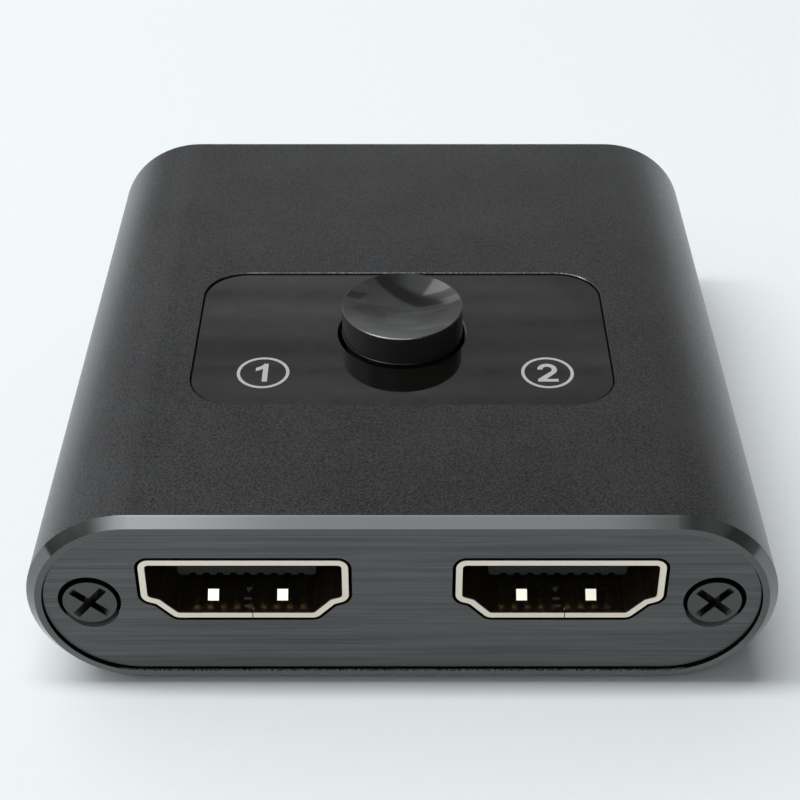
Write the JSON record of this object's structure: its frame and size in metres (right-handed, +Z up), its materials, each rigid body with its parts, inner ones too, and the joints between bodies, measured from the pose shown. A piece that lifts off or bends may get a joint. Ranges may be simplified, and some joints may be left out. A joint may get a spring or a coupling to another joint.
{
  "type": "hdmi switch box",
  "caption": "Flat round-sided metal case with plug sockets in both end plates and a dished push button in a glossy inlay on top, for choosing a video source.",
  "frame": {"origin": "middle of the underside, on the surface that the box stands on", "axes": "+Z up, the end with the two input sockets faces -Y, +X to the right seen from that end"},
  "size_m": [0.055, 0.0564, 0.0184],
  "materials": {
    "blasted_aluminium": "fine blasted, dark grey anodised",
    "brushed_aluminium": "brushed across, dark grey anodised",
    "black_screws": "black zinc",
    "inlay_acrylic": "glossy",
    "adhesive_tape": "matt",
    "button_plastic": "glossy",
    "nickel_shell": "nickel plated",
    "black_nylon": "satin",
    "gold_contacts": "gold plated",
    "board_laminate": "satin",
    "switch_plastic": "satin",
    "tinned_steel": "tinned",
    "plunger_nylon": "satin",
    "ceramic": "matt",
    "chip_epoxy": "matt",
    "lamp_resin": "clear"
  },
  "bodies": {
    "case": {"sleeve": "blasted_aluminium", "front_plate": "brushed_aluminium", "rear_plate": "brushed_aluminium", "front_screws": "black_screws", "rear_screws": "black_screws", "top_inlay": "inlay_acrylic", "inlay_adhesive": "adhesive_tape", "input_1_shell": "nickel_shell", "input_1_insulator": "black_nylon", "input_1_upper_contacts": "gold_contacts", "input_1_lower_contacts": "gold_contacts", "input_2_shell": "nickel_shell", "input_2_insulator": "black_nylon", "input_2_upper_contacts": "gold_contacts", "input_2_lower_contacts": "gold_contacts", "output_shell": "nickel_shell", "output_insulator": "black_nylon", "output_upper_contacts": "gold_contacts", "output_lower_contacts": "gold_contacts", "main_board": "board_laminate", "switch_housing": "switch_plastic", "switch_cover": "tinned_steel", "switch_spring": "tinned_steel", "switch_pins": "tinned_steel", "selector_chip": "chip_epoxy", "chip_leads": "tinned_steel", "surge_protectors": "chip_epoxy", "capacitors": "ceramic", "resistors": "chip_epoxy", "indicator_lamps": "lamp_resin"},
    "button": {"button_cap": "button_plastic", "switch_plunger": "plunger_nylon"}
  },
  "joints": [
    {"name": "button_press", "type": "slide", "parent": "case", "child": "button", "axis": [0, 0, -1], "range_m": [0, 0.0015], "stiffness_N_per_m": 800, "springref_m": -0.0005, "deforming": ["switch_spring"]}
  ]
}
